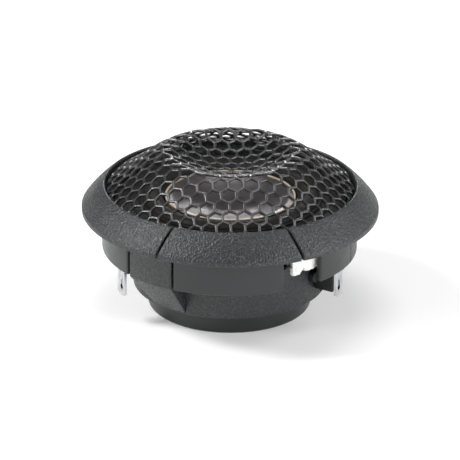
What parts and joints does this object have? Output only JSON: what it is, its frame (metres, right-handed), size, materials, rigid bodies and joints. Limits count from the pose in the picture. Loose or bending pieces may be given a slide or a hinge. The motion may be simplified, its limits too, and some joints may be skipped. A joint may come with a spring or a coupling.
{
  "type": "car tweeter",
  "caption": "Flush-mount car tweeter: sloped round flange with a dished hexagonal-mesh grille over a concave dome, stepped plastic housing behind and push-on terminal tabs.",
  "frame": {"origin": "centre of the flat bottom of the rear cup, at the bottom centre of the whole speaker", "axes": "+Z along the speaker's axis, out through the grille; -Y towards the badge insert"},
  "size_m": [0.055, 0.055, 0.0299],
  "materials": {
    "grained_plastic": "spark-eroded grain, matt",
    "smooth_plastic": "smooth satin",
    "black_plastic": "fine matt",
    "grille_coat": "black powder coat, satin",
    "tin_plate": "bright tin plating",
    "dome_metal": "brushed satin foil",
    "steel": "zinc-plated",
    "magnet_nickel": "nickel-plated",
    "copper": "enamelled wire",
    "former_film": "amber film",
    "surround_rubber": "treated cloth, matt",
    "cream_glue": "cured adhesive",
    "white_glue": "cured adhesive, lumpy",
    "foam": "open-cell foam",
    "felt": "pressed wool felt"
  },
  "bodies": {
    "housing": {"flange_ring": "grained_plastic", "badge_insert": "grained_plastic", "grille": "grille_coat", "body_shell": "grained_plastic", "rear_cup": "smooth_plastic", "chamber_foam": "foam", "yoke_cup": "steel", "magnet": "magnet_nickel", "top_plate": "steel", "pole_felt": "felt", "surround": "surround_rubber", "diaphragm_carrier": "black_plastic", "terminal_left": "tin_plate", "terminal_right": "tin_plate", "terminal_carrier_left": "black_plastic", "terminal_carrier_right": "black_plastic", "lead_wire_left": "copper", "lead_wire_right": "copper", "solder_left": "tin_plate", "solder_right": "tin_plate", "adhesive_bead": "white_glue"},
    "dome_assembly": {"dome": "dome_metal", "voice_coil_former": "former_film", "voice_coil_winding": "copper", "bond_ring": "cream_glue"}
  },
  "joints": [
    {"name": "dome_travel", "type": "slide", "parent": "housing", "child": "dome_assembly", "axis": [0, 0, 1], "range_m": [-0.0004, 0.0004], "stiffness_N_per_m": 2000, "deforming": ["surround"]}
  ]
}
